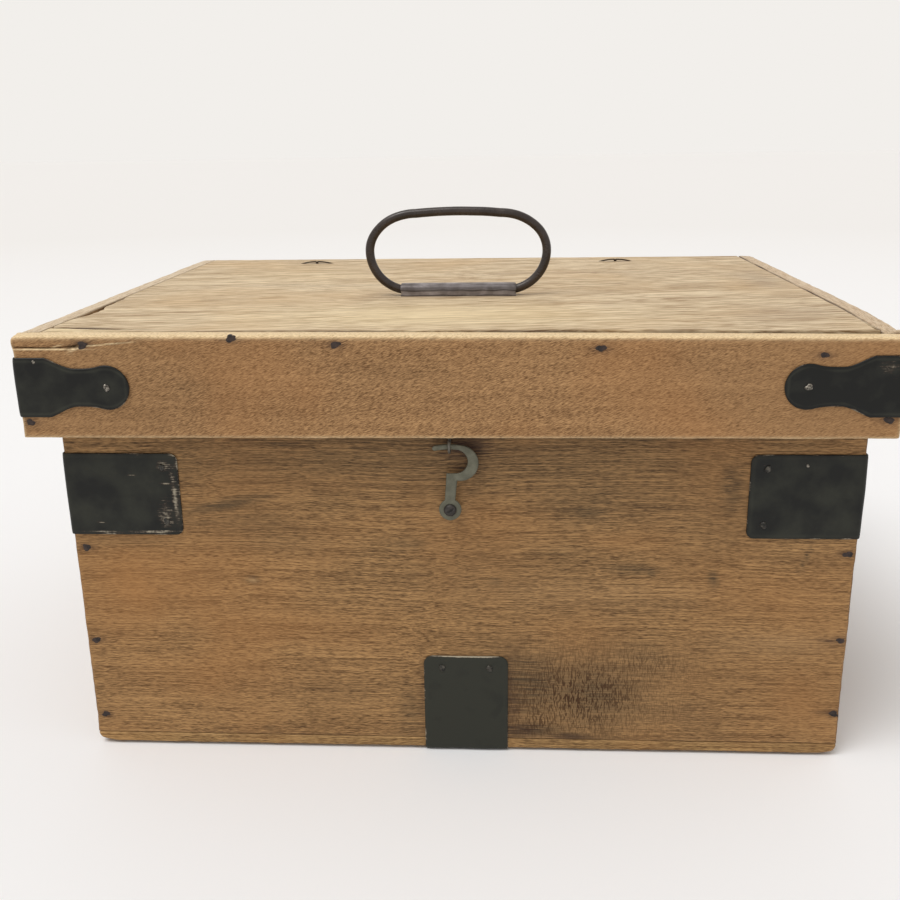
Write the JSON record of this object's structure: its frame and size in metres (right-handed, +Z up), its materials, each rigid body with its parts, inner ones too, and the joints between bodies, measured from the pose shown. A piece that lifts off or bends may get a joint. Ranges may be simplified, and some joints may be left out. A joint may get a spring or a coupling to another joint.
{
  "type": "storage chest",
  "caption": "Small iron-bound wooden storage chest with a hinged cap lid, a flat hook latch, folded iron corner plates and straps, and a wire bail handle on the lid.",
  "frame": {"origin": "on the floor under the middle of the chest's overall box", "axes": "+X along the chest to the viewer's right, +Y to the back with the hook on the -Y side, +Z up"},
  "size_m": [0.3796, 0.2904, 0.2486],
  "materials": {
    "case_wood": "dark brown worn wood with grey and black stains",
    "bottom_wood": "plain unfinished brown wood",
    "lid_skirt_wood": "reddish brown worn wood with a low sheen",
    "lid_panel_wood": "light sandy dry wood",
    "black_iron": "satin black paint on sheet iron, worn at the edges",
    "tack_iron": "dull dark iron",
    "bail_steel": "dark browned steel wire",
    "clip_steel": "dull grey sheet steel",
    "hook_steel": "grey-green tarnished steel",
    "wire_steel": "dull grey steel wire"
  },
  "bodies": {
    "case": {"case_front_board": "case_wood", "case_back_board": "case_wood", "case_left_board": "case_wood", "case_right_board": "case_wood", "case_bottom_board": "bottom_wood", "corner_plate_front_left": "black_iron", "corner_plate_front_right": "black_iron", "corner_plate_back_right": "black_iron", "corner_plate_back_left": "black_iron", "corner_plate_front_left_tack_1": "tack_iron", "corner_plate_front_left_tack_2": "tack_iron", "corner_plate_front_left_tack_3": "tack_iron", "corner_plate_front_left_tack_4": "tack_iron", "corner_plate_front_right_tack_1": "tack_iron", "corner_plate_front_right_tack_2": "tack_iron", "corner_plate_front_right_tack_3": "tack_iron", "corner_plate_front_right_tack_4": "tack_iron", "corner_plate_back_right_tack_1": "tack_iron", "corner_plate_back_right_tack_2": "tack_iron", "corner_plate_back_right_tack_3": "tack_iron", "corner_plate_back_right_tack_4": "tack_iron", "corner_plate_back_left_tack_1": "tack_iron", "corner_plate_back_left_tack_2": "tack_iron", "corner_plate_back_left_tack_3": "tack_iron", "corner_plate_back_left_tack_4": "tack_iron", "base_strap_front": "black_iron", "base_strap_back": "black_iron", "base_strap_front_tack_1": "tack_iron", "base_strap_front_tack_2": "tack_iron", "base_strap_back_tack_1": "tack_iron", "base_strap_back_tack_2": "tack_iron", "hinge_case_cotter_left": "wire_steel", "hinge_case_cotter_right": "wire_steel", "hook_spacer": "wire_steel", "hook_screw": "wire_steel"},
    "lid": {"lid_panel": "lid_panel_wood", "lid_front_board": "lid_skirt_wood", "lid_left_board": "lid_skirt_wood", "lid_right_board": "lid_skirt_wood", "lid_strap_left": "black_iron", "lid_strap_right": "black_iron", "lid_strap_left_tack_1": "tack_iron", "lid_strap_left_tack_2": "tack_iron", "lid_strap_right_tack_1": "tack_iron", "lid_strap_right_tack_2": "tack_iron", "handle_clip": "clip_steel", "hinge_lid_cotter_left": "wire_steel", "hinge_lid_cotter_right": "wire_steel", "latch_eye": "wire_steel"},
    "handle": {"handle_bail": "bail_steel"},
    "hook": {"latch_hook": "hook_steel"}
  },
  "joints": [
    {"name": "lid_hinge", "type": "hinge", "parent": "case", "child": "lid", "pos_m": [0, 0.12585, 0.1881], "axis": [-1, 0, 0], "range_deg": [0, 115]},
    {"name": "bail_swing", "type": "hinge", "parent": "lid", "child": "handle", "pos_m": [-0.0018, -0.03075, 0.20645], "axis": [1, 0, 0], "range_deg": [-90, 90]},
    {"name": "hook_turn", "type": "hinge", "parent": "case", "child": "hook", "pos_m": [-0.0015, -0.13665, 0.1241], "axis": [0, 1, 0], "range_deg": [0, 175]}
  ]
}
